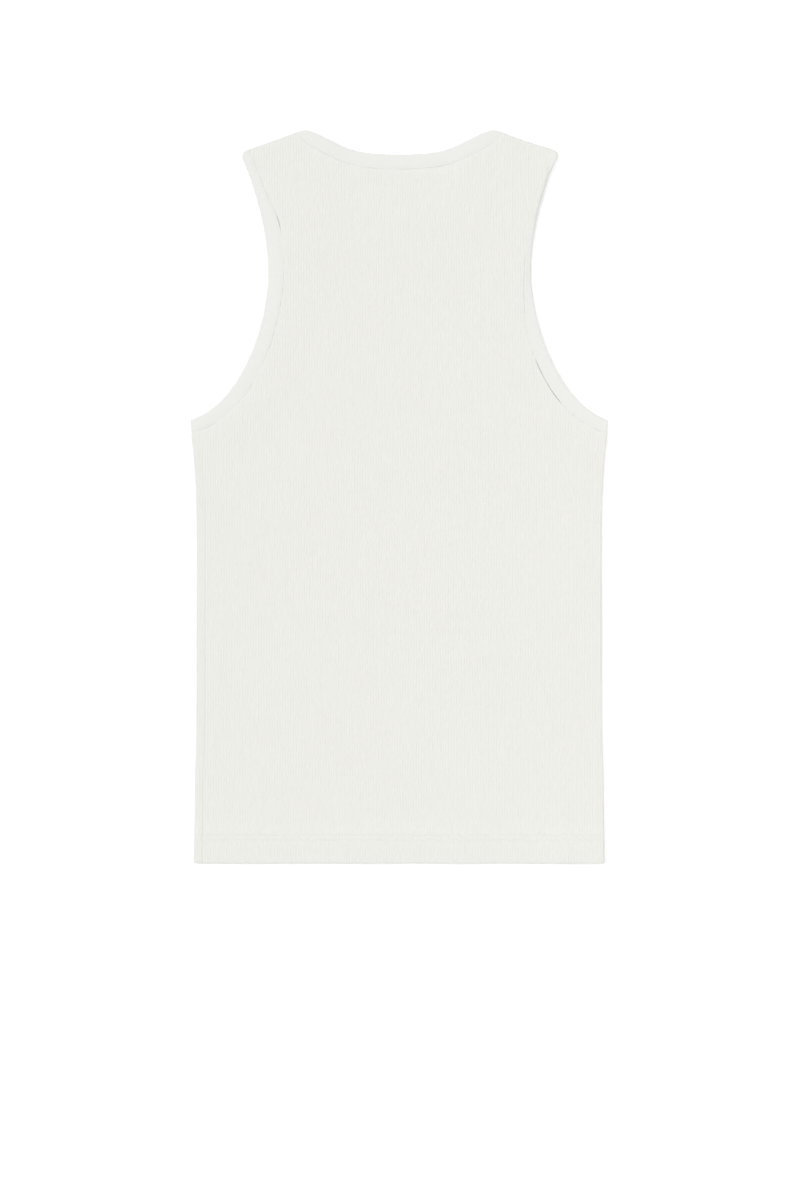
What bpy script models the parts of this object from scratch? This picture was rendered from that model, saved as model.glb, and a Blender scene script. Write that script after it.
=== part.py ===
"""A ribbed tank top laid flat on its front, so that its back is uppermost.

+X is the wearer's right, +Y runs up to the neck and +Z away from the surface it lies on. The
origin is under the middle of the garment. All sizes are in metres.
"""
import math
from collections import namedtuple

import bmesh
import bpy
from mathutils import Vector

# Driving dimensions of the garment
LENGTH = 0.700              # hem to the high point of the shoulder
TOP = LENGTH / 2
BOTTOM = -LENGTH / 2
CLOTH = 0.0012              # wall of the knit, without the ribs on its face
GAP = 0.0003                # between pieces that touch
BINDING_WIDTH = 0.014
BINDING_THICKNESS = 0.0020
HEM_DEPTH = 0.028
HEM_LAYER = 0.0010          # what the turned-up cloth adds to the wall
HEM_CORNER = 0.0025         # radius of the hem's two corners

# Ribs, which run down the panels
RIB_PITCH = 0.00255
RIB_HEIGHT = 0.00045
RIBS_PER_COLUMN = 4         # ribs between two lines of the plain inner face

# Shoulder, neck and armhole of the back
SHOULDER_START = 0.0922     # where the shoulder leaves its highest level
SHOULDER_SLOPE = -0.362
SHOULDER_CORNER = 0.004
TIP_X = 0.1503              # shoulder tip
NECK_HALF_WIDTH = 0.0873
NECK_DROP = 0.0232
NECK_HANDLES = ((0.0519, -0.0135), (0.0529, -NECK_DROP))
NARROW = Vector((0.1260, 0.2150))       # narrowest point between the armholes
UNDERARM = Vector((0.1990, 0.0736))
TIP_HANDLE = Vector((-0.0110, -0.0270))
NARROW_HANDLE_UP = Vector((0.0, 0.0414))
NARROW_HANDLE_DOWN = Vector((0.0, -0.0487))
UNDERARM_HANDLE = Vector((-0.0473, 0.0146))
LEFT_DRAW_IN = 0.0012       # how much further in the left armhole lies, below the shoulder
RIGHT_TIP_OUT = Vector((0.0014, 0.0007))    # how much further out the right shoulder tip lies
TIP_PLACES = (0.124, 0.142)  # where that starts and where all of it is reached
TIP_LEVELS = (0.306, 0.324)

# Front: a scoop neck, and armholes cut in a little more than the back's
FRONT_NECK_DEPTH = 0.098
FRONT_CUT_IN = 0.007

# How the back follows the layers under it
REST = 0.0003               # its inner face where nothing is under it
EASE = 0.012                # it stays up this far past a binding that it lies on
FALL = 0.025                # and comes down over this length
HEM_FALL = 0.012
HEM_STEP = 0.006            # length over which a hem's own extra layer ends
ARM_REACH = FRONT_CUT_IN + BINDING_WIDTH + EASE
NECK_REACH = BINDING_WIDTH + EASE

# Meshing
ARM_STATIONS = 44
NECK_STATIONS = 18          # from a shoulder to the middle
HIDDEN_STATIONS = 26
TURN_SHARE = 0.22           # share of an edge in which its strip turns to meet another edge
CORNER_POINTS = 3
SIDE_STEP = 0.030
MERGE = 1e-5
FLAT = math.radians(0.15)   # faces closer to one plane than this are joined
SHARP = math.radians(50)

Section = namedtuple("Section", "height half_width")
SIDE = (
    Section(0.000, 0.1962),
    Section(0.040, 0.1955),
    Section(0.080, 0.1951),
    Section(0.115, 0.1941),
    Section(0.150, 0.1937),
    Section(0.230, 0.1936),
    Section(0.310, 0.1934),
    Section(0.351, 0.1941),
    Section(0.385, 0.1961),
    Section(0.408, 0.1984),
    Section(0.424, 0.1990),
)

# The bindings roll under towards the shoulders, which narrows what shows of them
Roll = namedtuple("Roll", "level left_width right_width")
ROLLS = (
    Roll(0.060, 0.0140, 0.0140),
    Roll(0.150, 0.0140, 0.0134),
    Roll(0.170, 0.0140, 0.0118),
    Roll(0.190, 0.0141, 0.0090),
    Roll(0.210, 0.0144, 0.0070),
    Roll(0.235, 0.0147, 0.0058),
    Roll(0.260, 0.0150, 0.0042),
    Roll(0.286, 0.0104, 0.0036),
    Roll(0.306, 0.0094, 0.0038),
    Roll(0.330, 0.0092, 0.0082),
)
ROLL_THICKENING = 0.0016    # what a binding rolled right under would gain

# Soft waves that stand up from the hem
Wave = namedtuple("Wave", "place half_width height reach")
HEM_WAVES = (
    Wave(-0.138, 0.045, 0.0008, 0.090),
    Wave(-0.031, 0.040, 0.0013, 0.120),
    Wave(0.061, 0.048, 0.0013, 0.120),
    Wave(0.167, 0.048, 0.0015, 0.150),
)

# Seam allowances raise a ridge along each side
RIDGE_WIDTH = 0.010
Ridge = namedtuple("Ridge", "at_underarm at_hem")
LEFT_RIDGE = Ridge(0.0004, 0.0009)
RIGHT_RIDGE = Ridge(0.0002, 0.0006)

# Rows of points across the panels
HEM_ROWS = (BOTTOM + HEM_DEPTH, BOTTOM + HEM_DEPTH + HEM_FALL)
WAVE_ROWS = (BOTTOM + 0.080, BOTTOM + 0.150)
UPPER_ROWS_START = UNDERARM.y - ARM_REACH - FALL
UPPER_ROW_STEP = 0.018

# A folded strip: share of its width in from the fold, share of its thickness up from its foot
Corner = namedtuple("Corner", "across up")
STRIP = (
    Corner(1.00, 0.00),
    Corner(0.08, 0.00),
    Corner(0.00, 0.25),
    Corner(0.00, 0.70),
    Corner(0.08, 0.95),
    Corner(0.30, 1.00),
    Corner(0.80, 1.00),
    Corner(1.00, 0.80),
)

IVORY = (0.855, 0.855, 0.815, 1.0)
PALE_IVORY = (0.863, 0.863, 0.840, 1.0)
CLOTH_ROUGHNESS = 0.92

Edge = namedtuple("Edge", "point inward")


def clear_scene():
    for item in list(bpy.data.objects):
        bpy.data.objects.remove(item, do_unlink=True)


def ramp(value, start, end):
    """0 at start, 1 at end, with a soft run between."""
    share = min(max((value - start) / (end - start), 0.0), 1.0)
    return share * share * (3.0 - 2.0 * share)


def read_table(table, at, column):
    """A value of a table's column, on a smooth run through its rows."""
    places = [row[0] for row in table]
    values = [getattr(row, column) for row in table]
    last = len(table) - 1
    if at <= places[0] or at >= places[last]:
        return values[0] if at <= places[0] else values[last]
    i = max(k for k in range(last) if places[k] <= at)
    before, after = max(i - 1, 0), min(i + 2, last)
    span = places[i + 1] - places[i]
    leave = (values[i + 1] - values[before]) / (places[i + 1] - places[before]) * span
    arrive = (values[after] - values[i]) / (places[after] - places[i]) * span
    t = (at - places[i]) / span
    rise = values[i + 1] - values[i]
    return values[i] + t * (leave + t * (3 * rise - 2 * leave - arrive
                                         + t * (leave + arrive - 2 * rise)))


def bezier(start, first, second, end, t):
    """A point of a cubic curve and the direction in which the curve runs there."""
    s = 1.0 - t
    point = start * s ** 3 + first * 3 * s * s * t + second * 3 * s * t * t + end * t ** 3
    run = (first - start) * s * s + (second - first) * 2 * s * t + (end - second) * t * t
    return point, run.normalized()


# ---- outlines, all for the wearer's right half

def half_width(y):
    return read_table(SIDE, y - BOTTOM, "half_width")


def shoulder_level(x):
    """Height of the shoulder's edge, which rounds off at the tip."""
    line = TOP + SHOULDER_SLOPE * max(x - SHOULDER_START, 0.0)
    past = max(x - TIP_X + SHOULDER_CORNER, 0.0)
    return line - SHOULDER_CORNER + math.sqrt(max(SHOULDER_CORNER ** 2 - past ** 2, 0.0))


def on_shoulder(x):
    return Vector((x, shoulder_level(x)))


def on_side(y):
    return Vector((half_width(y), y))


def turned(inward, along, share):
    """The way inward, turned towards another edge near the end of a strip."""
    return (inward * (1.0 - share) + along * share).normalized()


def binding_width(y, side, is_front):
    if is_front:
        return BINDING_WIDTH
    return read_table(ROLLS, y, "right_width" if side > 0 else "left_width")


def tip_end(width):
    """Where a strip this wide meets the shoulder's edge, about its width from the tip."""
    chord = on_shoulder(TIP_X - width) - on_shoulder(TIP_X)
    return TIP_X - width * abs(chord.normalized().x)


def armhole_edges(side, is_front):
    """The armhole from the shoulder tip to the underarm, each point with its way inward."""
    tip = on_shoulder(TIP_X)
    upper = (tip, tip + TIP_HANDLE, NARROW + NARROW_HANDLE_UP, NARROW)
    lower = (NARROW, NARROW + NARROW_HANDLE_DOWN, UNDERARM + UNDERARM_HANDLE, UNDERARM)
    tip_width = binding_width(TOP, side, is_front)
    along_shoulder = (on_shoulder(tip_end(tip_width)) - tip).normalized()
    along_side = (on_side(UNDERARM.y - BINDING_WIDTH) - UNDERARM).normalized()
    count = HIDDEN_STATIONS if is_front else ARM_STATIONS
    edges = []
    for i in range(count + 1):
        t = i / count
        part = upper if t < 0.5 else lower
        point, run = bezier(*part, t * 2.0 if t < 0.5 else t * 2.0 - 1.0)
        inward = Vector((run.y, -run.x))
        if is_front:
            point += inward * FRONT_CUT_IN * math.sin(math.pi * t) ** 2
        if side < 0:
            point += inward * LEFT_DRAW_IN * math.sin(math.pi * t ** 1.5)
        inward = turned(inward, along_shoulder, ramp(t, TURN_SHARE, 0.0))
        inward = turned(inward, along_side, ramp(t, 1.0 - TURN_SHARE, 1.0))
        edges.append(Edge(point, inward))
    return edges


def back_neck_edges():
    """The back neckline from the shoulder to the middle."""
    start = Vector((NECK_HALF_WIDTH, TOP))
    handles = [Vector((x, TOP + y)) for x, y in NECK_HANDLES]
    middle = Vector((0.0, TOP - NECK_DROP))
    along = (on_shoulder(NECK_HALF_WIDTH + BINDING_WIDTH) - start).normalized()
    edges = []
    for i in range(NECK_STATIONS + 1):
        t = i / NECK_STATIONS
        point, run = bezier(start, *handles, middle, t)
        inward = turned(Vector((-run.y, run.x)), along, ramp(t, TURN_SHARE, 0.0))
        edges.append(Edge(point, inward))
    return edges


def front_neck_edges():
    """The front neckline, half an ellipse, from the shoulder to the middle."""
    edges = []
    for i in range(NECK_STATIONS + 1):
        turn = i / NECK_STATIONS * math.pi / 2
        across = math.cos(turn)
        down = math.sin(turn)
        point = Vector((NECK_HALF_WIDTH * across, TOP - FRONT_NECK_DEPTH * down))
        inward = Vector((across / NECK_HALF_WIDTH, -down / FRONT_NECK_DEPTH))
        edges.append(Edge(point, inward.normalized()))
    return edges


def panel_outline(side, is_front):
    """One half of a panel's border, from the hem's middle round to the neck's middle."""
    points = [Vector((0.0, BOTTOM))]
    corner = Vector((half_width(BOTTOM) - HEM_CORNER, BOTTOM + HEM_CORNER))
    for i in range(CORNER_POINTS + 1):
        turn = i / CORNER_POINTS * math.pi / 2
        points.append(corner + Vector((math.sin(turn), -math.cos(turn))) * HEM_CORNER)
    seam_end = UNDERARM.y - BINDING_WIDTH - GAP
    rises = math.ceil((seam_end - corner.y) / SIDE_STEP)
    points += [on_side(corner.y + (seam_end - corner.y) * i / rises) for i in range(1, rises + 1)]
    for edge in reversed(armhole_edges(side, is_front)[1:-1]):
        inset = binding_width(edge.point.y, side, is_front) + GAP
        points.append(edge.point + edge.inward * inset)
    points.append(on_shoulder(tip_end(binding_width(TOP, side, is_front) + GAP)))
    points.append(on_shoulder(NECK_HALF_WIDTH + BINDING_WIDTH + GAP))
    neck = front_neck_edges if is_front else back_neck_edges
    for edge in neck()[1:]:
        points.append(edge.point + edge.inward * (BINDING_WIDTH + GAP))
    return points


def whole_outline(is_front):
    """The border of a panel, with the left half run backwards after the right."""
    right = panel_outline(1, is_front)
    left = panel_outline(-1, is_front)
    return right + [Vector((-p.x, p.y)) for p in reversed(left[1:-1])]


# ---- heights

ARMHOLE_LINE = [edge.point for edge in armhole_edges(1, False)]


def from_armhole(x, y):
    here = Vector((abs(x), y))
    return min((here - point).length for point in ARMHOLE_LINE)


def past_front_neck(x, y):
    """How far a place is outside the front neckline: below 0 it lies over the scoop."""
    reach = math.hypot(x, TOP - y)
    share = math.hypot(x / NECK_HALF_WIDTH, (TOP - y) / FRONT_NECK_DEPTH)
    return reach - reach / share if share > 0.0 else -NECK_HALF_WIDTH


def wave_lift(x, y):
    lift = 0.0
    for wave in HEM_WAVES:
        aside = min(abs(x - wave.place) / wave.half_width, 1.0)
        bell = 0.5 + 0.5 * math.cos(math.pi * aside)
        lift += wave.height * bell * ramp(y, BOTTOM + wave.reach, BOTTOM)
    return lift


def back_floor(x, y):
    """Inner face of the back: it lies on the front, over its bindings, and in its scoop."""
    neck = past_front_neck(x, y)
    over_arm = ramp(from_armhole(x, y), ARM_REACH + FALL, ARM_REACH)
    over_neck = ramp(neck, NECK_REACH + FALL, NECK_REACH)
    over_scoop = ramp(-neck, EASE, EASE + FALL)
    height = CLOTH + GAP + max(over_arm, over_neck) * (BINDING_THICKNESS - CLOTH)
    height += (REST - height) * over_scoop
    hem_top = BOTTOM + HEM_DEPTH
    height += HEM_LAYER * ramp(y, hem_top + HEM_FALL, hem_top)
    return height + wave_lift(x, y)


def side_ridge(x, y):
    inset = half_width(y) - abs(x)
    if y > UNDERARM.y or inset > RIDGE_WIDTH or inset < 0.0:
        return 0.0
    ridge = LEFT_RIDGE if x < 0 else RIGHT_RIDGE
    share = (y - BOTTOM) / (UNDERARM.y - BOTTOM)
    tall = ridge.at_hem + (ridge.at_underarm - ridge.at_hem) * share
    return tall * math.sin(math.pi * inset / RIDGE_WIDTH)


def rib_rise(x):
    return RIB_HEIGHT * abs(1.0 - 2.0 * ((x / RIB_PITCH) % 1.0))


def wall(y):
    hem_top = BOTTOM + HEM_DEPTH
    return CLOTH + HEM_LAYER * ramp(y, hem_top + HEM_STEP, hem_top)


def broad_floor(x, y):
    """back_floor on straight runs between the lines of the inner face."""
    step = RIB_PITCH * RIBS_PER_COLUMN
    first = math.floor(x / step + MERGE)
    share = x / step - first
    low = back_floor(first * step, y)
    if share < MERGE:
        return low
    return low * (1.0 - share) + back_floor((first + 1) * step, y) * share


# ---- panels

def flat_sheet(outline):
    mesh = bmesh.new()
    mesh.faces.new([mesh.verts.new((p.x, p.y, 0.0)) for p in outline])
    return mesh


def cut_lines(mesh, places, axis):
    """Cut the sheet along lines at the given places of axis 0 or 1."""
    normal = Vector((1.0, 0.0, 0.0)) if axis == 0 else Vector((0.0, 1.0, 0.0))
    for place in places:
        everything = mesh.verts[:] + mesh.edges[:] + mesh.faces[:]
        bmesh.ops.bisect_plane(mesh, geom=everything, dist=MERGE,
                               plane_co=normal * place, plane_no=normal)


def rib_lines():
    step = RIB_PITCH / 2
    count = math.floor(max(row.half_width for row in SIDE) / step)
    return [i * step for i in range(-count, count + 1)]


def back_rows():
    rows = list(HEM_ROWS + WAVE_ROWS)
    count = math.floor((TOP - UPPER_ROWS_START) / UPPER_ROW_STEP)
    rows += [UPPER_ROWS_START + i * UPPER_ROW_STEP for i in range(count + 1)]
    return rows


def thicken(mesh):
    """Give the sheet a lower copy and walls, and return the vertices of its two faces."""
    lower = mesh.faces[:]
    made = bmesh.ops.extrude_face_region(mesh, geom=lower, use_keep_orig=True)["geom"]
    upper = [item for item in made if isinstance(item, bmesh.types.BMVert)]
    under = {vert for face in lower for vert in face.verts}
    return lower, under, upper


def is_spare_line(edge, lower):
    """An edge along a rib on the inner face, away from the border and the broad lines."""
    start, end = (vert.co for vert in edge.verts)
    if abs(start.x - end.x) > MERGE or any(face not in lower for face in edge.link_faces):
        return False
    line = start.x / (RIB_PITCH * RIBS_PER_COLUMN)
    return abs(line - round(line)) * RIB_PITCH > MERGE


def plain_inner_face(mesh, lower):
    kept = set(lower)
    spare = [edge for edge in mesh.edges if is_spare_line(edge, kept)]
    bmesh.ops.dissolve_edges(mesh, edges=spare, use_verts=True)


def join_flat_faces(mesh):
    bmesh.ops.dissolve_limit(mesh, angle_limit=FLAT, verts=mesh.verts, edges=mesh.edges)


def draw_out_tip(mesh):
    """The right shoulder tip lies a little further out and up than the left one."""
    for vert in mesh.verts:
        share = ramp(vert.co.x, *TIP_PLACES) * ramp(vert.co.y, *TIP_LEVELS)
        vert.co.xy += RIGHT_TIP_OUT * share


def add_object(name, mesh, colour, smooth):
    draw_out_tip(mesh)
    bmesh.ops.recalc_face_normals(mesh, faces=mesh.faces)
    data = bpy.data.meshes.new(name)
    mesh.to_mesh(data)
    mesh.free()
    if smooth:
        data.shade_smooth()
        data.set_sharp_from_angle(angle=SHARP)
    item = bpy.data.objects.new(name, data)
    bpy.context.collection.objects.link(item)
    data.materials.append(cloth_material(name, colour))
    return item


def cloth_material(name, colour):
    material = bpy.data.materials.new(name + "_knit")
    material.use_nodes = True
    shader = material.node_tree.nodes["Principled BSDF"]
    shader.inputs["Base Color"].default_value = colour
    shader.inputs["Roughness"].default_value = CLOTH_ROUGHNESS
    shader.inputs["Metallic"].default_value = 0.0
    return material


def make_back_panel():
    """The back: ribs raised on its outer face, over a plain inner face."""
    mesh = flat_sheet(whole_outline(is_front=False))
    cut_lines(mesh, rib_lines(), axis=0)
    cut_lines(mesh, back_rows(), axis=1)
    lower, under, upper = thicken(mesh)
    for vert in upper:
        x, y = vert.co.x, vert.co.y
        vert.co.z = broad_floor(x, y) + wall(y) + rib_rise(x) + side_ridge(x, y)
    for vert in under:
        vert.co.z = broad_floor(vert.co.x, vert.co.y)
    plain_inner_face(mesh, lower)
    join_flat_faces(mesh)
    return add_object("back_panel", mesh, IVORY, smooth=False)


def make_front_panel():
    """The front: flat where it lies, with its hem turned up on its inner face."""
    mesh = flat_sheet(whole_outline(is_front=True))
    hem_top = BOTTOM + HEM_DEPTH
    cut_lines(mesh, (hem_top, hem_top + HEM_STEP), axis=1)
    _, _, upper = thicken(mesh)
    for vert in upper:
        vert.co.z = wall(vert.co.y)
    return add_object("front_panel", mesh, IVORY, smooth=False)


# ---- bindings

def strip_rows(edges, widths):
    """Plan of a strip: for each edge point, a point at each corner of the strip's section."""
    rows = []
    for edge, width in zip(edges, widths):
        rows.append([edge.point + edge.inward * width * corner.across for corner in STRIP])
    return rows


def arm_strip_rows(side, is_front):
    """The ends of an armhole's strip follow the shoulder's edge and the side."""
    edges = armhole_edges(side, is_front)
    rows = strip_rows(edges, [binding_width(edge.point.y, side, is_front) for edge in edges])
    tip_run = TIP_X - tip_end(binding_width(TOP, side, is_front))
    rows[0] = [on_shoulder(TIP_X - tip_run * corner.across) for corner in STRIP]
    rows[-1] = [on_side(UNDERARM.y - BINDING_WIDTH * corner.across) for corner in STRIP]
    return rows


def neck_strip_rows(is_front):
    """A neck strip runs from the right shoulder round to the left one."""
    edges = front_neck_edges() if is_front else back_neck_edges()
    rows = strip_rows(edges, [BINDING_WIDTH] * len(edges))
    rows[0] = [on_shoulder(NECK_HALF_WIDTH + BINDING_WIDTH * corner.across) for corner in STRIP]
    return rows + [[Vector((-p.x, p.y)) for p in row] for row in reversed(rows[:-1])]


def strip_thickness(row):
    width = (row[0] - row[2]).length
    return BINDING_THICKNESS + ROLL_THICKENING * max(1.0 - width / BINDING_WIDTH, 0.0)


def make_strip(name, rows, side, is_front):
    """Loft a strip through its rows. side is -1 to lay it on the wearer's left."""
    mesh = bmesh.new()
    rings = []
    for row in rows:
        thick = strip_thickness(row)
        ring = []
        for point, corner in zip(row, STRIP):
            x = point.x * side
            foot = 0.0 if is_front else back_floor(x, point.y)
            ring.append(mesh.verts.new((x, point.y, foot + thick * corner.up)))
        rings.append(ring)
    for near, far in zip(rings, rings[1:]):
        for i in range(len(STRIP)):
            j = (i + 1) % len(STRIP)
            mesh.faces.new((near[i], near[j], far[j], far[i]))
    mesh.faces.new(rings[0])
    mesh.faces.new(list(reversed(rings[-1])))
    return add_object(name, mesh, PALE_IVORY, smooth=True)


def make_bindings():
    for side, side_name in ((-1, "left"), (1, "right")):
        for is_front, face in ((False, "back"), (True, "front")):
            name = "arm_binding_" + side_name + "_" + face
            make_strip(name, arm_strip_rows(side, is_front), side, is_front)
    for is_front, face in ((False, "back"), (True, "front")):
        make_strip("neck_binding_" + face, neck_strip_rows(is_front), 1, is_front)


def main():
    clear_scene()
    make_front_panel()
    make_back_panel()
    make_bindings()


main()
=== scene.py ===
import math

import bmesh
import bpy
import numpy as np
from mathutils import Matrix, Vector


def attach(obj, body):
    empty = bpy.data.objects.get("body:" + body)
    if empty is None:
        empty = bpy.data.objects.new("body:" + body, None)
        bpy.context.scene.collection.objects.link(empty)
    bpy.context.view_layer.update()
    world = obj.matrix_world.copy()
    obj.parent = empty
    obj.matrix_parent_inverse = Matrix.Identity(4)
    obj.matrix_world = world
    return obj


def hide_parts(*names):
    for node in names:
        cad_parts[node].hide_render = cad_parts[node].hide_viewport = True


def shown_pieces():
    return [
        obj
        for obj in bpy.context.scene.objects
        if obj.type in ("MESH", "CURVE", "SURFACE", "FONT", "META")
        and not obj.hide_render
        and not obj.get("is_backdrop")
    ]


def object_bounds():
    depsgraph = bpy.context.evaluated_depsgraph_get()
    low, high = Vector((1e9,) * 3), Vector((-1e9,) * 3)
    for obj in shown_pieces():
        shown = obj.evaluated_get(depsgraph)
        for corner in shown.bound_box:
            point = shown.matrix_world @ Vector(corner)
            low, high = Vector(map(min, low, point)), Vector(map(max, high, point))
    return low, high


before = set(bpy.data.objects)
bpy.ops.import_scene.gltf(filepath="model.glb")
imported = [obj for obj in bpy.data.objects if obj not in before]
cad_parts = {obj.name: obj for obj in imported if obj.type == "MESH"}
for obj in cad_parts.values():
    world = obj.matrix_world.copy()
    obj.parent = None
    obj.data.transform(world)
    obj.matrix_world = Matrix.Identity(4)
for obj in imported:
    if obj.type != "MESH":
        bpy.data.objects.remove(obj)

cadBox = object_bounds()

# The cut, wearer's right half, in metres from the middle of the garment
cut = {
    "top": cadBox[1].y,
    "bottom": cadBox[0].y,
    "side": (               # height above the hem, half width
        (0.000, 0.1962), (0.040, 0.1955), (0.080, 0.1951), (0.115, 0.1941),
        (0.150, 0.1937), (0.230, 0.1936), (0.310, 0.1934), (0.351, 0.1941),
        (0.385, 0.1961), (0.408, 0.1984), (0.424, 0.1990),
    ),
    "hemCorner": 0.0025,
    "shoulderStart": 0.0922,
    "shoulderSlope": -0.362,
    "shoulderCorner": 0.004,
    "tipX": 0.1503,
    "tipHandle": (-0.0110, -0.0270),
    "narrow": (0.1260, 0.2150),
    "narrowHandleUp": (0.0, 0.0414),
    "narrowHandleDown": (0.0, -0.0487),
    "underarm": (0.1990, 0.0736),
    "underarmHandle": (-0.0473, 0.0146),
    "neckHalfWidth": 0.0873,
    "neckDrop": 0.0232,
    "neckHandles": ((0.0519, -0.0135), (0.0529, -0.0232)),
    "frontNeckDepth": 0.098,
    "frontCutIn": 0.007,
    "leftDrawIn": 0.0012,
    "rightTipOut": (0.0014, 0.0007),     # how much further out the right shoulder tip lies
    "tipPlaces": (0.124, 0.142),         # where that starts and where all of it is reached
    "tipLevels": (0.306, 0.324),
    "turnShare": 0.22,       # share of an edge in which its strip turns to meet another edge
}

# How thick things are and how the back lies over what is under it
layers = {
    "cloth": 0.0012,
    "gap": 0.0003,
    "rest": 0.0003,          # under the back where there is no front
    "binding": 0.0020,
    "bindingWidth": 0.014,
    "rollThickening": 0.0016,
    "hemDepth": 0.028,
    "hemLayer": 0.0010,
    "hemFall": 0.012,        # over which the back comes down from the front's hem
    "hemStep": 0.006,        # over which a hem's own extra layer ends
    "ease": 0.012,           # how far past a binding the back stays up
    "fall": 0.025,           # and over which it then comes down
    "seamReach": 0.0018,     # how far in from a seam its edge is rounded
    "seamHalf": 0.00012,     # half the slit between the two panels at a seam
    "seamLip": 0.00035,
    "neckReach": 0.0004,
}
hemTop = cut["bottom"] + layers["hemDepth"]
mirrored = np.array((-1.0, 1.0))                # takes a place to the garment's other side
sampling = {"curve": 1500, "armLine": 45}       # points for measuring a curve

# Width that shows of the armhole bindings, which roll under towards the shoulder:
# level, wearer's left, wearer's right
rolls = (
    (0.060, 0.0140, 0.0140), (0.150, 0.0140, 0.0134), (0.170, 0.0140, 0.0118),
    (0.190, 0.0141, 0.0090), (0.210, 0.0144, 0.0070), (0.235, 0.0147, 0.0058),
    (0.260, 0.0150, 0.0042), (0.286, 0.0104, 0.0036), (0.306, 0.0094, 0.0038),
    (0.330, 0.0092, 0.0082),
)


def ramp(value, start, end):
    share = np.clip((value - start) / (end - start), 0.0, 1.0)
    return share * share * (3.0 - 2.0 * share)


def readTable(table, at, column=1):
    # a smooth run through a table's rows, level past its ends
    places = np.array([row[0] for row in table])
    values = np.array([row[column] for row in table])
    last = len(table) - 1
    rows = np.arange(last + 1)
    before, after = np.maximum(rows - 1, 0), np.minimum(rows + 1, last)
    slope = (values[after] - values[before]) / (places[after] - places[before])
    at = np.clip(at, places[0], places[last])
    i = np.clip(np.searchsorted(places, at, side="right") - 1, 0, last - 1)
    span = places[i + 1] - places[i]
    t = (at - places[i]) / span
    rise = values[i + 1] - values[i]
    leave, arrive = slope[i] * span, slope[i + 1] * span
    bend = 3 * rise - 2 * leave - arrive + t * (leave + arrive - 2 * rise)
    return values[i] + t * (leave + t * bend)


def unit(vectors):
    return vectors / np.linalg.norm(vectors, axis=-1, keepdims=True)


def leftOf(run):
    return np.stack((-run[:, 1], run[:, 0]), axis=-1)


def withHeight(plan, height):
    return np.concatenate((plan, height[..., None]), axis=-1)


def bell(aside, width):
    # 1 on a line, and 0 from a width away
    return 0.5 + 0.5 * np.cos(math.pi * np.minimum(np.abs(aside) / width, 1.0))


def runAlong(points, closed=False):
    # distance gone at each point of a line, and back at its start if it is closed
    ahead = np.roll(points, -1, axis=0) - points if closed else np.diff(points, axis=0)
    return np.concatenate(([0.0], np.cumsum(np.linalg.norm(ahead, axis=1))))


def halfWidth(y):
    return readTable(cut["side"], y - cut["bottom"])


def shoulderLevel(x):
    line = cut["top"] + cut["shoulderSlope"] * np.maximum(x - cut["shoulderStart"], 0.0)
    past = np.maximum(x - cut["tipX"] + cut["shoulderCorner"], 0.0)
    corner = cut["shoulderCorner"]
    return line - corner + np.sqrt(np.maximum(corner ** 2 - past ** 2, 0.0))


def onShoulder(x):
    return np.stack((x, shoulderLevel(x)), axis=-1)


def onSide(y):
    return np.stack((halfWidth(y), y), axis=-1)


def bandWidth(y, side, isFront):
    if isFront:
        return np.full_like(y, layers["bindingWidth"])
    return readTable(rolls, y, 2 if side > 0 else 1)


def tipWidth(side, isFront):
    return float(bandWidth(np.array(cut["top"]), side, isFront))


def tipEnd(width):
    # where a band this wide meets the shoulder's edge
    chord = onShoulder(cut["tipX"] - width) - onShoulder(cut["tipX"])
    return cut["tipX"] - width * abs(chord[0]) / np.linalg.norm(chord)


def bezier(points, t):
    start, first, second, end = (np.array(p) for p in points)
    t = t[:, None]
    s = 1.0 - t
    place = start * s ** 3 + first * 3 * s * s * t + second * 3 * s * t * t + end * t ** 3
    run = (first - start) * s * s + (second - first) * 2 * s * t + (end - second) * t * t
    return place, unit(run)


def turned(inward, along, share):
    share = share[:, None]
    return unit(inward * (1.0 - share) + along * share)


def armCurve(t, side, isFront):
    # the armhole from the shoulder tip to the underarm: points, and their way inward
    tip = onShoulder(cut["tipX"])
    narrow, underarm = np.array(cut["narrow"]), np.array(cut["underarm"])
    upper = (tip, tip + cut["tipHandle"], narrow + cut["narrowHandleUp"], narrow)
    lower = (narrow, narrow + cut["narrowHandleDown"],
             underarm + cut["underarmHandle"], underarm)
    isUpper = (t < 0.5)[:, None]
    placeA, runA = bezier(upper, np.minimum(t * 2.0, 1.0))
    placeB, runB = bezier(lower, np.maximum(t * 2.0 - 1.0, 0.0))
    place, run = np.where(isUpper, placeA, placeB), np.where(isUpper, runA, runB)
    inward = -leftOf(run)
    if isFront:
        place = place + inward * (cut["frontCutIn"] * np.sin(math.pi * t) ** 2)[:, None]
    if side < 0:
        place = place + inward * (cut["leftDrawIn"] * np.sin(math.pi * t ** 1.5))[:, None]
    alongShoulder = unit(onShoulder(tipEnd(tipWidth(side, isFront))) - tip)
    alongSide = unit(onSide(underarm[1] - layers["bindingWidth"]) - underarm)
    inward = turned(inward, alongShoulder, ramp(t, cut["turnShare"], 0.0))
    return place, turned(inward, alongSide, ramp(t, 1.0 - cut["turnShare"], 1.0))


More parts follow.
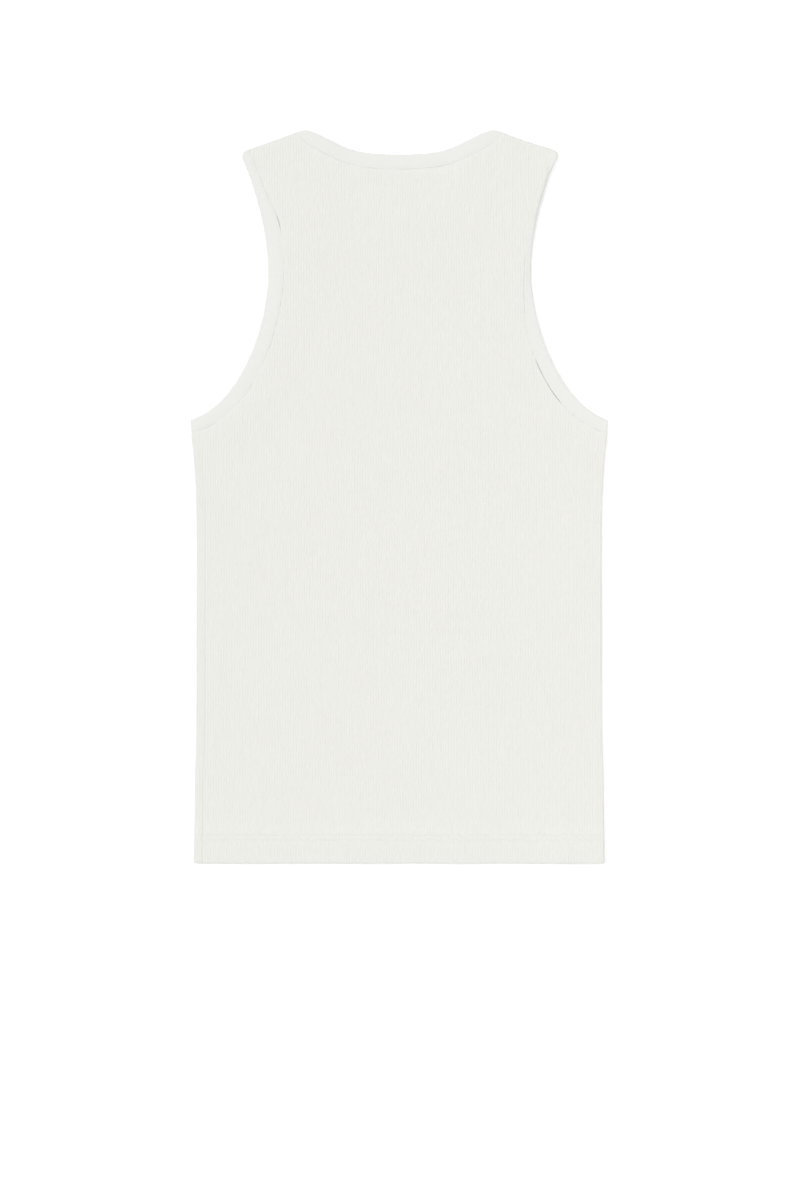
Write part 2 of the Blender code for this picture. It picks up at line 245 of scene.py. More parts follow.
def neckCurve(t, isFront):
    # the neckline from the wearer's right shoulder, t 0, to the left one, t 1
    half = 1.0 - np.abs(2.0 * t - 1.0)
    mirror = np.where((t > 0.5)[:, None], mirrored, 1.0)
    start = np.array((cut["neckHalfWidth"], cut["top"]))
    along = unit(onShoulder(cut["neckHalfWidth"] + layers["bindingWidth"]) - start)
    if isFront:
        turn = half * math.pi / 2
        place = start * [1.0, 0.0] * np.cos(turn)[:, None] + [0.0, cut["top"]]
        place[:, 1] -= cut["frontNeckDepth"] * np.sin(turn)
        inward = unit(np.stack((np.cos(turn) / cut["neckHalfWidth"],
                                -np.sin(turn) / cut["frontNeckDepth"]), axis=-1))
    else:
        handles = [start * [0.0, 1.0] + handle for handle in cut["neckHandles"]]
        middle = np.array((0.0, cut["top"] - cut["neckDrop"]))
        place, run = bezier((start, *handles, middle), half)
        inward = leftOf(run)
    inward = turned(inward, along, ramp(half, cut["turnShare"], 0.0))
    return place * mirror, inward * mirror


def evenShares(curve, spacing):
    # curve parameters that lie about one spacing apart along the curve
    fine = np.linspace(0.0, 1.0, sampling["curve"])
    run = runAlong(curve(fine)[0])
    count = max(round(run[-1] / spacing), 2)
    return np.interp(np.linspace(0.0, run[-1], count + 1), run, fine)


def distanceTo(line, x, y):
    # distance of each place from a line of points
    nearest = np.full(x.shape, np.inf)
    for a, b in zip(line[:-1], line[1:]):
        dx, dy = b[0] - a[0], b[1] - a[1]
        share = ((x - a[0]) * dx + (y - a[1]) * dy) / (dx * dx + dy * dy)
        share = np.clip(share, 0.0, 1.0)
        nearest = np.minimum(nearest, np.hypot(x - a[0] - share * dx, y - a[1] - share * dy))
    return nearest


armLine = armCurve(np.linspace(0.0, 1.0, sampling["armLine"]), 1, False)[0]

# Soft folds of the back. Hem waves: place, half width, height, reach up from the hem
hemWaves = (
    (-0.138, 0.045, 0.0008, 0.090),
    (-0.031, 0.040, 0.0013, 0.120),
    (0.061, 0.048, 0.0013, 0.120),
    (0.167, 0.048, 0.0015, 0.150),
)

# Creases: where one starts and ends, half width, height
creases = (
    ((-0.181, 0.060), (-0.092, 0.122), 0.015, 0.0007),
    ((-0.186, 0.030), (-0.118, 0.008), 0.020, 0.0005),
    ((-0.150, 0.100), (-0.104, 0.150), 0.010, 0.0004),
    ((-0.118, 0.262), (-0.086, 0.198), 0.014, 0.0005),
    ((-0.101, 0.300), (-0.060, 0.262), 0.012, 0.0003),
    ((0.178, 0.048), (0.116, 0.096), 0.013, 0.0005),
    ((0.160, 0.100), (0.122, 0.160), 0.009, 0.0004),
    ((0.172, -0.052), (0.166, -0.150), 0.016, 0.0004),
    ((0.108, 0.262), (0.084, 0.180), 0.013, 0.0003),
    ((0.052, 0.152), (0.074, 0.080), 0.016, 0.0003),
    ((-0.178, -0.110), (-0.169, -0.200), 0.012, 0.0004),
    ((-0.060, -0.040), (-0.088, -0.140), 0.022, 0.0003),
    ((0.030, -0.070), (0.046, -0.190), 0.024, 0.0003),
    ((-0.020, 0.230), (0.018, 0.170), 0.020, 0.0003),
)
creaseForm = {"bow": 0.12, "bends": 7.0, "swell": 1.2}      # no crease runs quite straight


def pastFrontNeck(x, y):
    reach = np.hypot(x, cut["top"] - y)
    share = np.hypot(x / cut["neckHalfWidth"], (cut["top"] - y) / cut["frontNeckDepth"])
    return reach - reach / np.maximum(share, 1e-6)


def waveLift(x, y):
    lift = np.zeros_like(x)
    for place, width, height, reach in hemWaves:
        lift += height * bell(x - place, width) * ramp(y, cut["bottom"] + reach, cut["bottom"])
    return lift


def creaseLift(x, y):
    lift = np.zeros_like(x)
    for (ax, ay), (bx, by), width, height in creases:
        dx, dy = bx - ax, by - ay
        long = math.hypot(dx, dy)
        share = ((x - ax) * dx + (y - ay) * dy) / long ** 2
        bow = creaseForm["bow"] * width * np.sin(share * creaseForm["bends"])
        aside = ((x - ax) * dy - (y - ay) * dx) / long + bow
        swell = np.clip(share * (1.0 - share) * 4.0, 0.0, 1.0) ** creaseForm["swell"]
        lift += height * swell * bell(aside, width)
    return lift


def backFloor(x, y):
    # inner face of the back: on the front, over its bindings and down into its scoop
    armReach = cut["frontCutIn"] + layers["bindingWidth"] + layers["ease"]
    neckReach = layers["bindingWidth"] + layers["ease"]
    neck = pastFrontNeck(x, y)
    arm = distanceTo(armLine, np.abs(x), y)
    overArm = ramp(arm, armReach + layers["fall"], armReach)
    overNeck = ramp(neck, neckReach + layers["fall"], neckReach)
    overScoop = ramp(-neck, layers["ease"], layers["ease"] + layers["fall"])
    height = layers["cloth"] + layers["gap"]
    height = height + np.maximum(overArm, overNeck) * (layers["binding"] - layers["cloth"])
    height += (layers["rest"] - height) * overScoop
    height += layers["hemLayer"] * ramp(y, hemTop + layers["hemFall"], hemTop)
    return height + waveLift(x, y)


# What the seams do to the cloth beside them
seams = {
    "leftRidge": (0.0008, 0.0004),      # height of its allowances at the hem and at the underarm
    "rightRidge": (0.0005, 0.0002),
    "ridgeStart": 0.0030,               # inset where a side's ridge is whole
    "ridgeEnd": (0.0092, 0.0068),       # where it has ended, and where it starts to fall
    "shoulderRidge": 0.0004,
    "shoulderEnd": (0.0130, 0.0070),
    "pucker": 0.00016,
    "puckerSpacing": 0.0135,
    "puckerSlant": 0.6,
    "puckerShift": (0.35, 0.05),        # of the right side from the left one, and over what width
    "puckerUneven": (0.35, 0.83),
    "puckerReach": (0.016, 0.001),      # where the gathers end, and where they are deepest
    "hemPucker": 0.00007,
    "hemPuckerWaves": (0.0021, 0.0130, 0.0047),
    "hemPuckerReach": 0.009,
}


def sideRidge(x, y):
    inset = halfWidth(y) - np.abs(x)
    share = (y - cut["bottom"]) / (cut["underarm"][1] - cut["bottom"])
    left, right = ((low + (high - low) * share)
                   for low, high in (seams["leftRidge"], seams["rightRidge"]))
    hump = ramp(inset, 0.0, seams["ridgeStart"]) * ramp(inset, *seams["ridgeEnd"])
    return np.where(x < 0, left, right) * hump * (y < cut["underarm"][1])


def puckers(x, y, toBinding):
    # small gathers beside a binding, where its seam draws the cloth in
    shift, middle = seams["puckerShift"]
    uneven, turns = seams["puckerUneven"]
    along = (y - seams["puckerSlant"] * np.hypot(x, 0.02)) / seams["puckerSpacing"]
    along += shift * (1.0 + np.tanh(x / middle))        # the two sides aren't twins
    wave = np.sin(2 * math.pi * (along + uneven * np.sin(along * turns)))
    return seams["pucker"] * wave * ramp(toBinding, *seams["puckerReach"])


def hemPucker(x, y):
    # the hem's stitching draws in the cloth a little, unevenly
    rise = y - cut["bottom"] - np.mean(hemStitch["rows"])
    small, swing, large = (x / length for length in seams["hemPuckerWaves"])
    wave = np.sin(small + 1.9 * np.sin(swing)) * 0.6 + np.sin(large)
    return seams["hemPucker"] * wave * np.exp(-(rise / seams["hemPuckerReach"]) ** 2)


def wall(y):
    return layers["cloth"] + layers["hemLayer"] * ramp(y, hemTop + layers["hemStep"], hemTop)


ribs = {
    "pitch": 0.00255,
    "height": 0.00045,
    "columns": (-0.33, -0.12, 0.12, 0.33, 0.5),    # lines of points on a rib, in pitches
    "perPlainColumn": 4,     # ribs between two lines of the plain inner face
    "rowStep": 0.0085,
    "roundness": 2.2,
    "sideways": 0.00025,
    "drifts": (0.031, 0.070, 0.013, 0.021),     # lengths over which they drift sideways
    "wander": (0.002, 0.020),    # how far in from a border they start to do so, and do so fully
}


def ribRise(x):
    # 0 in the valleys and 1 on the round crests
    aside = np.abs(x / ribs["pitch"] - np.round(x / ribs["pitch"])) * 2.0
    return np.sqrt(np.maximum(1.0 - aside ** ribs["roundness"], 0.0))


def ribWander(x, y):
    # ribs never run dead straight
    long, wide, short, narrow = ribs["drifts"]
    drift = np.sin(y / long + 3.0 * np.sin(x / wide)) + 0.6 * np.sin(y / short + x / narrow)
    return ribs["sideways"] * drift / 1.6


hemStitch = {
    "rows": (0.0215, 0.0265),    # levels above the hem's edge
    "groove": 0.0009,
    "depth": 0.00009,
    "pressed": 0.6,              # share of a rib's height that the stitches press flat
}


def stitchPress(y):
    # 1 where a row of hem stitches presses the ribs flat
    away = np.minimum.reduce([np.abs(y - cut["bottom"] - row) for row in hemStitch["rows"]])
    return ramp(away, hemStitch["groove"], 0.0)


panels = {
    "tuck": 0.0004,          # how far a panel goes in under the lip of its binding
    "borderStep": 0.0030,    # between points on its curved borders
    "cornerPoints": 7,
    "sidePoints": 60,
    "shoulderPoints": 12,
    "insets": (0.0, 0.08, 0.3, 0.62, 1.0),      # lines of points on the round edge
    "leastSpread": 0.6,      # keeps those lines together at sharp corners
    "hemRows": (0.006, 0.013),
    "grooveRows": (-1.0, -0.4, 0.4, 1.0),
    "rowsAboveHem": (0.0009, 0.003, 0.006, 0.0115),
    "hemEdge": 0.12,         # share of the thickness that is left at the hem's very edge
    "hemRound": 0.8,         # of the reach of a seam's round edge
    "ditch": 0.94,           # share of it beside a binding
    "ditchReach": 0.0030,
    "ribStart": 0.1,         # share of a rib's height beside a binding
    "ribReach": 0.0040,
    "liftReach": 0.005,      # over which the front rises to its bindings' thickness
}
closeBy = 2e-5               # points closer than this are one


def panelBorder(side, isFront):
    # one half of a panel's border, run by run, from the hem's middle to the neck's middle
    corner = onSide(np.array(cut["bottom"] + cut["hemCorner"])) - [cut["hemCorner"], 0.0]
    turn = np.linspace(0.0, math.pi / 2, panels["cornerPoints"])
    bend = corner + np.stack((np.sin(turn), -np.cos(turn)), axis=-1) * cut["hemCorner"]
    hem = np.concatenate((np.array([[0.0, cut["bottom"]]]), bend))
    tuck = panels["tuck"]
    seamEnd = cut["underarm"][1] - layers["bindingWidth"] + tuck
    seamSide = onSide(np.linspace(corner[1], seamEnd, panels["sidePoints"]))
    shares = evenShares(lambda t: armCurve(t, side, isFront), panels["borderStep"])
    place, inward = armCurve(shares[::-1][1:-1], side, isFront)
    inset = bandWidth(place[:, 1], side, isFront) - tuck
    if not isFront:
        inset += gapeAt(place[:, 1], side)
    arm = place + inward * inset[:, None]
    shoulder = onShoulder(np.linspace(
        float(tipEnd(tipWidth(side, isFront) - tuck)),
        cut["neckHalfWidth"] + layers["bindingWidth"] - tuck, panels["shoulderPoints"]))
    neckShares = evenShares(lambda t: neckCurve(t, isFront), panels["borderStep"])
    neckShares = neckShares[(neckShares > 0.0) & (neckShares <= 0.5)]
    place, inward = neckCurve(neckShares, isFront)
    neck = place + inward * (layers["bindingWidth"] - tuck)
    return {"hem": hem, "side": seamSide, "arm": arm, "shoulder": shoulder, "neck": neck}


# Where the back's cloth gapes from its armhole bindings: level, left, right
gapes = (
    (0.060, 0.0, 0.0), (0.096, 0.0, 0.0), (0.102, 0.0, 0.0007), (0.117, 0.0, 0.0006),
    (0.134, 0.0, 0.0007), (0.140, 0.0, 0.0), (0.165, 0.0, 0.0002), (0.180, 0.0, 0.0005),
    (0.200, 0.0, 0.0005), (0.228, 0.0, 0.0005), (0.240, 0.0002, 0.0002), (0.249, 0.0004, 0.0),
    (0.263, 0.00074, 0.0), (0.270, 0.0, 0.0), (0.280, 0.0002, 0.0), (0.288, 0.0, 0.0),
    (0.330, 0.0, 0.0),
)


def gapeAt(y, side):
    return np.maximum(readTable(gapes, y, 2 if side > 0 else 1), 0.0)


def panelLines(isFront):
    # a panel's whole outline, and its border by kind: sewn, hemmed or bound
    right, left = panelBorder(1, isFront), panelBorder(-1, isFront)
    order = ("hem", "side", "arm", "shoulder", "neck")
    rightRun = np.concatenate([right[name] for name in order])
    leftRun = np.concatenate([left[name] for name in order])[::-1] * mirrored
    outline = np.concatenate((rightRun, leftRun))
    keep = np.linalg.norm(outline - np.roll(outline, 1, axis=0), axis=1) > closeBy
    kinds = {}
    for kind, names in (("seam", ("side", "shoulder")), ("hem", ("hem",)),
                        ("bound", ("arm", "neck"))):
        kinds[kind] = [half[name] * sign for half, sign in ((right, 1.0), (left, mirrored))
                       for name in names]
    return outline[keep], kinds


def toBorder(lines, x, y):
    return np.minimum.reduce([distanceTo(line, x, y) for line in lines])


def insetOutline(outline, inset):
    # the outline moved inward, with its corners kept
    ahead = leftOf(unit(np.roll(outline, -1, axis=0) - outline))
    behind = leftOf(unit(outline - np.roll(outline, 1, axis=0)))
    middle = unit(ahead + behind)
    spread = np.maximum((middle * ahead).sum(axis=1), panels["leastSpread"])
    return outline + middle * (inset / spread)[:, None]


def cutAlong(sheet, places, axis):
    # cut the sheet along lines, each only through what lies past the line before
    normal = Vector((1.0, 0.0, 0.0)) if axis == 0 else Vector((0.0, 1.0, 0.0))
    ahead = sheet.faces[:]
    for place in sorted(places):
        parts = dict.fromkeys(ahead)
        for face in ahead:
            parts.update(dict.fromkeys(face.verts))
            parts.update(dict.fromkeys(face.edges))
        made = bmesh.ops.bisect_plane(sheet, geom=list(parts), dist=closeBy / 2,
                                      plane_co=normal * place, plane_no=normal)["geom"]
        ahead = [item for item in made if isinstance(item, bmesh.types.BMFace)
                 and max(vert.co[axis] for vert in item.verts) > place + closeBy]


def panelRows():
    hem = [cut["bottom"] + rise for rise in panels["hemRows"]]
    for row in hemStitch["rows"]:
        middle = cut["bottom"] + row
        hem += [middle + step * hemStitch["groove"] for step in panels["grooveRows"]]
    hem += [hemTop + rise for rise in panels["rowsAboveHem"]]
    start = hem[-1] + ribs["rowStep"] * 0.7
    count = int((cut["top"] - start) / ribs["rowStep"])
    return hem + [start + i * ribs["rowStep"] for i in range(count + 1)]


def panelColumns():
    widest = cut["underarm"][0]
    count = int(widest / ribs["pitch"]) + 1
    return [(i + phase) * ribs["pitch"] for i in range(-count, count + 1)
            for phase in ribs["columns"] if abs(i + phase) * ribs["pitch"] < widest]


def isPlainLine(x):
    # true on the broad lines that the plain face keeps, which are valleys of the ribs
    line = (x / ribs["pitch"] - 0.5) / ribs["perPlainColumn"]
    return abs(line - round(line)) * ribs["pitch"] * ribs["perPlainColumn"] < closeBy


def makePlain(sheet, verts):
    # take the lines between the broad ones out of one face of a panel
    inside = set(verts)
    columns = np.array(panelColumns())
    spare = []
    for edge in sheet.edges:
        a, b = edge.verts
        if a not in inside or b not in inside or abs(a.co.x - b.co.x) > closeBy:
            continue
        around = {vert for face in edge.link_faces for vert in face.verts}
        if len(edge.link_faces) != 2 or not around <= inside:
            continue
        if np.abs(columns - a.co.x).min() < closeBy and not isPlainLine(a.co.x):
            spare.append(edge)
    bmesh.ops.dissolve_edges(sheet, edges=spare, use_verts=True)


def putInOrder(elements, key):
    # by their places, so that every run numbers them alike
    for i, element in enumerate(sorted(elements, key=key)):
        element.index = i
    elements.sort()


def newPiece(name, mesh):
    piece = bpy.data.objects.new(name, mesh)
    bpy.context.collection.objects.link(piece)
    return piece


def smoothPiece(name, places, faces):
    mesh = bpy.data.meshes.new(name)
    mesh.from_pydata(places, [], faces)
    mesh.shade_smooth()
    mesh.update()
    return newPiece(name, mesh)


def placesOf(mesh):
    places = np.empty(len(mesh.vertices) * 3)
    mesh.vertices.foreach_get("co", places)
    return places.reshape(-1, 3)


def movePlaces(mesh, places):
    mesh.vertices.foreach_set("co", places.ravel())
    mesh.update()


def cutPanel(name, isFront):
    # a flat closed panel, fine on its outer face and plain on its inner one
    outline, kinds = panelLines(isFront)
    sheet = bmesh.new()
    loops = []
    for share in panels["insets"]:
        line = insetOutline(outline, layers["seamReach"] * share)
        loops.append([sheet.verts.new((x, y, 0.0)) for x, y in line])
    for outer, inner in zip(loops, loops[1:]):
        for i in range(len(outer)):
            j = (i + 1) % len(outer)
            sheet.faces.new((outer[i], outer[j], inner[j], inner[i]))
    sheet.faces.new(loops[-1])
    cutAlong(sheet, panelRows(), 1)
    cutAlong(sheet, panelColumns(), 0)
    made = bmesh.ops.extrude_face_region(sheet, geom=sheet.faces[:], use_keep_orig=True)["geom"]
    for item in made:
        if isinstance(item, bmesh.types.BMVert):
            item.co.z = layers["cloth"]
    makePlain(sheet, [vert for vert in sheet.verts if (vert.co.z > 0.0) == isFront])
    bmesh.ops.recalc_face_normals(sheet, faces=sheet.faces)
    putInOrder(sheet.verts, lambda vert: vert.co[:])
    putInOrder(sheet.faces, lambda face: sorted(vert.index for vert in face.verts))
    mesh = bpy.data.meshes.new(name)
    sheet.to_mesh(mesh)
    sheet.free()
    return newPiece(name, mesh), kinds


def roundShare(distance, reach):
    # how far a round edge has risen at a distance in from it
    return np.sqrt(np.maximum(1.0 - (1.0 - np.clip(distance / reach, 0.0, 1.0)) ** 2, 0.0))


def shoulderRidge(x, y):
    inset = shoulderLevel(np.minimum(np.abs(x), cut["tipX"])) - y
    onIt = (np.abs(x) > cut["neckHalfWidth"]) & (y > cut["narrow"][1])
    return seams["shoulderRidge"] * ramp(inset, *seams["shoulderEnd"]) * onIt


def backFace(x, y):
    # the back's outer face in the valleys of its ribs, away from its edges
    return backFloor(x, y) + creaseLift(x, y) + wall(y) + sideRidge(x, y) + hemPucker(x, y)


def dressPanel(piece, kinds, isFront):
    # give a flat panel its thickness, ribs, hem and folds, and a "knit" map of its flat places
    mesh = piece.data
    places = placesOf(mesh)
    x, y = places[:, 0].copy(), places[:, 1].copy()
    isUpper = places[:, 2] > 0.0
    toSeam = toBorder(kinds["seam"], x, y)
    toHem = toBorder(kinds["hem"], x, y)
    toBound = toBorder(kinds["bound"], x, y)
    tuck, hemEdge = panels["tuck"], panels["hemEdge"]
    ditchShare, ribStart = panels["ditch"], panels["ribStart"]
    nose = roundShare(toSeam, layers["seamReach"])
    hemReach = layers["seamReach"] * panels["hemRound"]
    fold = hemEdge + (1.0 - hemEdge) * roundShare(toHem, hemReach)
    ditch = ditchShare + (1.0 - ditchShare) * ramp(toBound, tuck, panels["ditchReach"])
    rib = ribs["height"] * ribRise(x) * (1.0 - hemStitch["pressed"] * stitchPress(y))
    rib *= ribStart + (1.0 - ribStart) * ramp(toBound, tuck * 0.5, panels["ribReach"])
    press = hemStitch["depth"] * stitchPress(y)
    whole = backFace(x, y) + ribs["height"]
    middle = whole * 0.5
    near = ramp(toSeam, layers["seamReach"] * 2.0, 0.0)
    if isFront:
        lift = layers["binding"] - layers["cloth"]
        lift = lift * ramp(toBound, panels["liftReach"], tuck)
        inner = wall(y) + lift
        inner += (middle - layers["seamHalf"] - inner) * near
        rise = lift + ribs["height"] - rib * nose + press
        edge = middle - layers["seamHalf"] - layers["seamLip"]
        outer = edge * (1.0 - nose) + rise * nose
        outer = inner - (inner - outer) * ditch
    else:
        inner = backFloor(x, y) + creaseLift(x, y)
        inner += (middle + layers["seamHalf"] - inner) * near
        edge = middle + layers["seamHalf"] + layers["seamLip"]
        face = backFace(x, y) + shoulderRidge(x, y) + rib - press
        face += puckers(x, y, toBound) * nose
        outer = edge + (face - edge) * nose
        outer = inner + (outer - inner) * ditch
    centre = (inner + outer) * 0.5
    inner = centre + (inner - centre) * fold
    outer = centre + (outer - centre) * fold
    places[:, 2] = np.where(isUpper != isFront, outer, inner)
    toEdge = np.minimum(np.minimum(toSeam, toHem), toBound)
    places[:, 0] += ribWander(x, y) * ramp(toEdge, *ribs["wander"])
    movePlaces(mesh, places)
    corners = np.empty(len(mesh.loops), dtype=np.int32)
    mesh.loops.foreach_get("vertex_index", corners)
    flat = np.stack((x, y), axis=-1)[corners]
    mesh.uv_layers.new(name="knit").data.foreach_set("uv", flat.ravel())


# The folded strip's section, from the foot of its inner edge out to the fold and back:
# share of the width, distance on from there, share of the thickness
bandSection = (
    (1.00, 0.0000, 0.60), (1.00, -0.0013, 0.57), (0.50, 0.0000, 0.00), (0.00, 0.0012, 0.00),
    (0.00, 0.0004, 0.08), (0.00, 0.0001, 0.26), (0.00, 0.0000, 0.50), (0.00, 0.0001, 0.74),
    (0.00, 0.0005, 0.91), (0.00, 0.0013, 0.985), (0.25, 0.0000, 1.00), (0.45, 0.0000, 1.00),
    (1.00, -0.0042, 0.950), (1.00, -0.0025, 0.85), (1.00, -0.0018, 0.870),
    (1.00, -0.0010, 0.82), (1.00, -0.0004, 0.77), (1.00, 0.0000, 0.70),
)
footCorner = 2                   # middle of the strip's underside
foldCorner = 6                   # middle of its fold
roundCorners = slice(6, 10)      # from there up to the fold's top
topCorners = (10, 11)
grooveCorner = 13                # where its stitches lie

bands = {
    "step": 0.00055,         # between rows of points
    "ribPitch": 0.0022,
    "ribDepth": 0.00013,
    "droop": 0.0011,
    "rollDroop": 0.9,        # how much more a strip that has rolled under droops
    "bow": 1.05,             # 1 lets a strip's face lean evenly, more bends it to its fold
    "rollGain": 2.2,         # how soon a strip narrower than the rest counts as rolled
    "rollTilt": 0.28,
    "rollRound": 0.0021,     # how far in from its edge the narrowest strip is round
    "narrowest": 0.0036,
    "widest": 0.46,          # and the most that the round takes of a strip's width
    "topStart": 1.04,        # where the flat top starts, in reaches of the round
    "fullWidth": 0.0075,     # narrower strips have their stitching nearer the seam
    "unevenness": 0.00022,
    "unevenRuns": (0.0110, 0.0037),
    "ribsFrom": (0.3, 0.8),  # share of the thickness where its ribs start and are whole
    "clearance": 0.00004,    # between a strip and what it lies on
    "settle": 0.006,         # over which a strip's end comes onto its fold line
    "drawBack": 0.010,
    "turnRows": 9,
    "neckOut": (0.18, 1.0),  # the way out over the shoulder's fold at the neck
}


def rollOf(width):
    # 0 where a strip lies flat and 1 where it has rolled under
    return np.clip(bands["rollGain"] * (1.0 - width / layers["bindingWidth"]), 0.0, 1.0)


def acrossOf(width):
    # distances of the section's points from the fold, for strips of these widths
    section = np.array(bandSection)
    width = np.atleast_1d(width)[:, None]
    flat = section[:, 0] * width + section[:, 1] * np.minimum(width / bands["fullWidth"], 1.0)
    rolled = flat.copy()
    reach = bands["rollRound"] * bands["narrowest"] / width
    reach = np.minimum(reach, width * bands["widest"])
    ups = section[roundCorners, 2]
    rolled[:, roundCorners] = reach * (1.0 - np.sqrt(1.0 - (2.0 * ups - 1.0) ** 2))
    topStart = reach[:, 0] * bands["topStart"]
    rolled[:, topCorners[0]] = topStart
    rolled[:, topCorners[1]] = (topStart + flat[:, topCorners[1] + 1]) / 2
    return flat + (rolled - flat) * rollOf(width)


def bandRows(curve, widthAt):
    # plan of a strip along a curve: a row of section points for each step
    shares = evenShares(curve, bands["step"])
    place, inward = curve(shares)
    width = widthAt(place[:, 1])
    across = acrossOf(width)
    plan = place[:, None, :] + inward[:, None, :] * across[:, :, None]
    return {"plan": plan, "across": across, "width": width, "run": runAlong(place),
            "shares": shares}


def settleEnd(rows, atStart, target, outward, reach):
    # bring one end of a strip onto the fold line it turns over
    run = rows["run"] if atStart else rows["run"][-1] - rows["run"]
    end = 0 if atStart else -1
    shift = target - rows["plan"][end]
    rows["plan"] = rows["plan"] + shift[None] * ramp(run, bands["settle"], 0.0)[:, None, None]
    back = outward * reach
    rows["plan"] = rows["plan"] - back * ramp(run, bands["drawBack"], 0.0)[:, None, None]


def liftBack(rows, droopShare):
    # heights of a strip of the back: foot and thickness at each section point
    plan, across, width = rows["plan"], rows["across"], rows["width"]
    outness = np.clip(1.0 - across / width[:, None], 0.0, 1.0) ** bands["bow"]
    foot = backFloor(plan[:, :, 0], plan[:, :, 1]) + bands["clearance"]
    rolled = rollOf(width)[:, None]
    droop = bands["droop"] * (1.0 + bands["rollDroop"] * rolled)
    foot -= droop * outness * droopShare[:, None]
    toSeam = np.clip(across / width[:, None], 0.0, 1.0) ** 3
    extra = layers["rollThickening"] * np.maximum(1.0 - width / layers["bindingWidth"], 0.0)
    thick = layers["binding"] + extra[:, None] * (1.0 - toSeam)
    thick = thick * (1.0 - bands["rollTilt"] * rolled * outness)
    return foot, np.broadcast_to(thick, foot.shape)


def turnOver(backRow, frontRow, target, outward, reach):
    # rows of a strip that goes over a fold from the back to the front, and their normals
    made, outs = [], []
    ups = np.array(bandSection)[:, 2]
    footBack, thickBack = backRow
    footFront, thickFront = frontRow
    middle, inside = (footBack + footFront) / 2, (footBack - footFront) / 2
    for i in range(1, bands["turnRows"]):
        angle = math.pi * i / bands["turnRows"]
        share = 0.5 - 0.5 * math.cos(angle)
        thick = thickBack * (1.0 - share) + thickFront * share
        radius = inside + ups * thick
        plan = target[0] * (1.0 - share) + target[1] * share
        aside = radius * math.sin(angle) / (inside + thick) - 1.0
        plan = plan + outward * (reach * aside)[:, None]
        made.append(withHeight(plan, middle + radius * math.cos(angle)))
        outs.append((*(outward * math.sin(angle)), math.cos(angle)))
    return made, outs


def ribValley(run):
    return (0.5 - 0.5 * np.cos(2 * math.pi * run / bands["ribPitch"])) ** 2


def bandMesh(name, rings, flip):
    # a closed ring of rows of section points, with a "strip" map: run along, run across
    places = np.array(rings)
    rows, corners = places.shape[:2]
    run = runAlong(places[:, footCorner], closed=True)
    around = runAlong(places[0], closed=True)
    faces, uvs = [], []
    for i in range(rows):
        for j in range(corners):
            n, m = (i + 1) % rows, (j + 1) % corners
            face = [(i, j, i, j), (i, m, i, j + 1), (n, m, i + 1, j + 1), (n, j, i + 1, j)]
            face = face[::-1] if flip else face
            faces.append([a * corners + b for a, b, _, _ in face])
            uvs += [(run[a], around[b]) for _, _, a, b in face]
    piece = smoothPiece(name, places.reshape(-1, 3).tolist(), faces)
    piece.data.uv_layers.new(name="strip").data.foreach_set("uv", np.array(uvs).ravel())
    return piece


def armBand(side, sideName):
    # worked out as on the wearer's right, and mirrored for the left
    back = bandRows(lambda t: armCurve(t, side, False), lambda y: bandWidth(y, side, False))
    front = bandRows(lambda t: armCurve(1.0 - t, side, True), lambda y: bandWidth(y, side, True))
    mirror = np.array((side, 1.0))
    for rows in (back, front):
        rows["plan"] = rows["plan"] * mirror
    atSide = onSide(cut["underarm"][1] - acrossOf(layers["bindingWidth"])[0]) * mirror
    atTip = []
    for isFront in (False, True):
        width = tipWidth(side, isFront)
        tipRun = cut["tipX"] - float(tipEnd(width))
        atTip.append(onShoulder(cut["tipX"] - tipRun * acrossOf(width)[0] / width) * mirror)
    overSide = mirror * [1.0, 0.0]
    overShoulder = unit(np.array((-cut["shoulderSlope"], 1.0))) * mirror
    droop = np.sin(math.pi * back["shares"]) ** 2
    return ringOf("arm_band_" + sideName, back, front, droop, ((atSide, atSide), overSide),
                  (atTip, overShoulder), layers["seamReach"], side > 0)


def neckBand():
    wide = lambda y: np.full_like(y, layers["bindingWidth"])
    back = bandRows(lambda t: neckCurve(t, False), wide)
    front = bandRows(lambda t: neckCurve(1.0 - t, True), wide)
    right = onShoulder(cut["neckHalfWidth"] + acrossOf(layers["bindingWidth"])[0])
    outRight = unit(np.array(bands["neckOut"]))
    left, outLeft = right * mirrored, outRight * mirrored
    droop = np.zeros_like(back["shares"])
    return ringOf("neck_band", back, front, droop, ((left, left), outLeft),
                  ((right, right), outRight), layers["neckReach"], False)


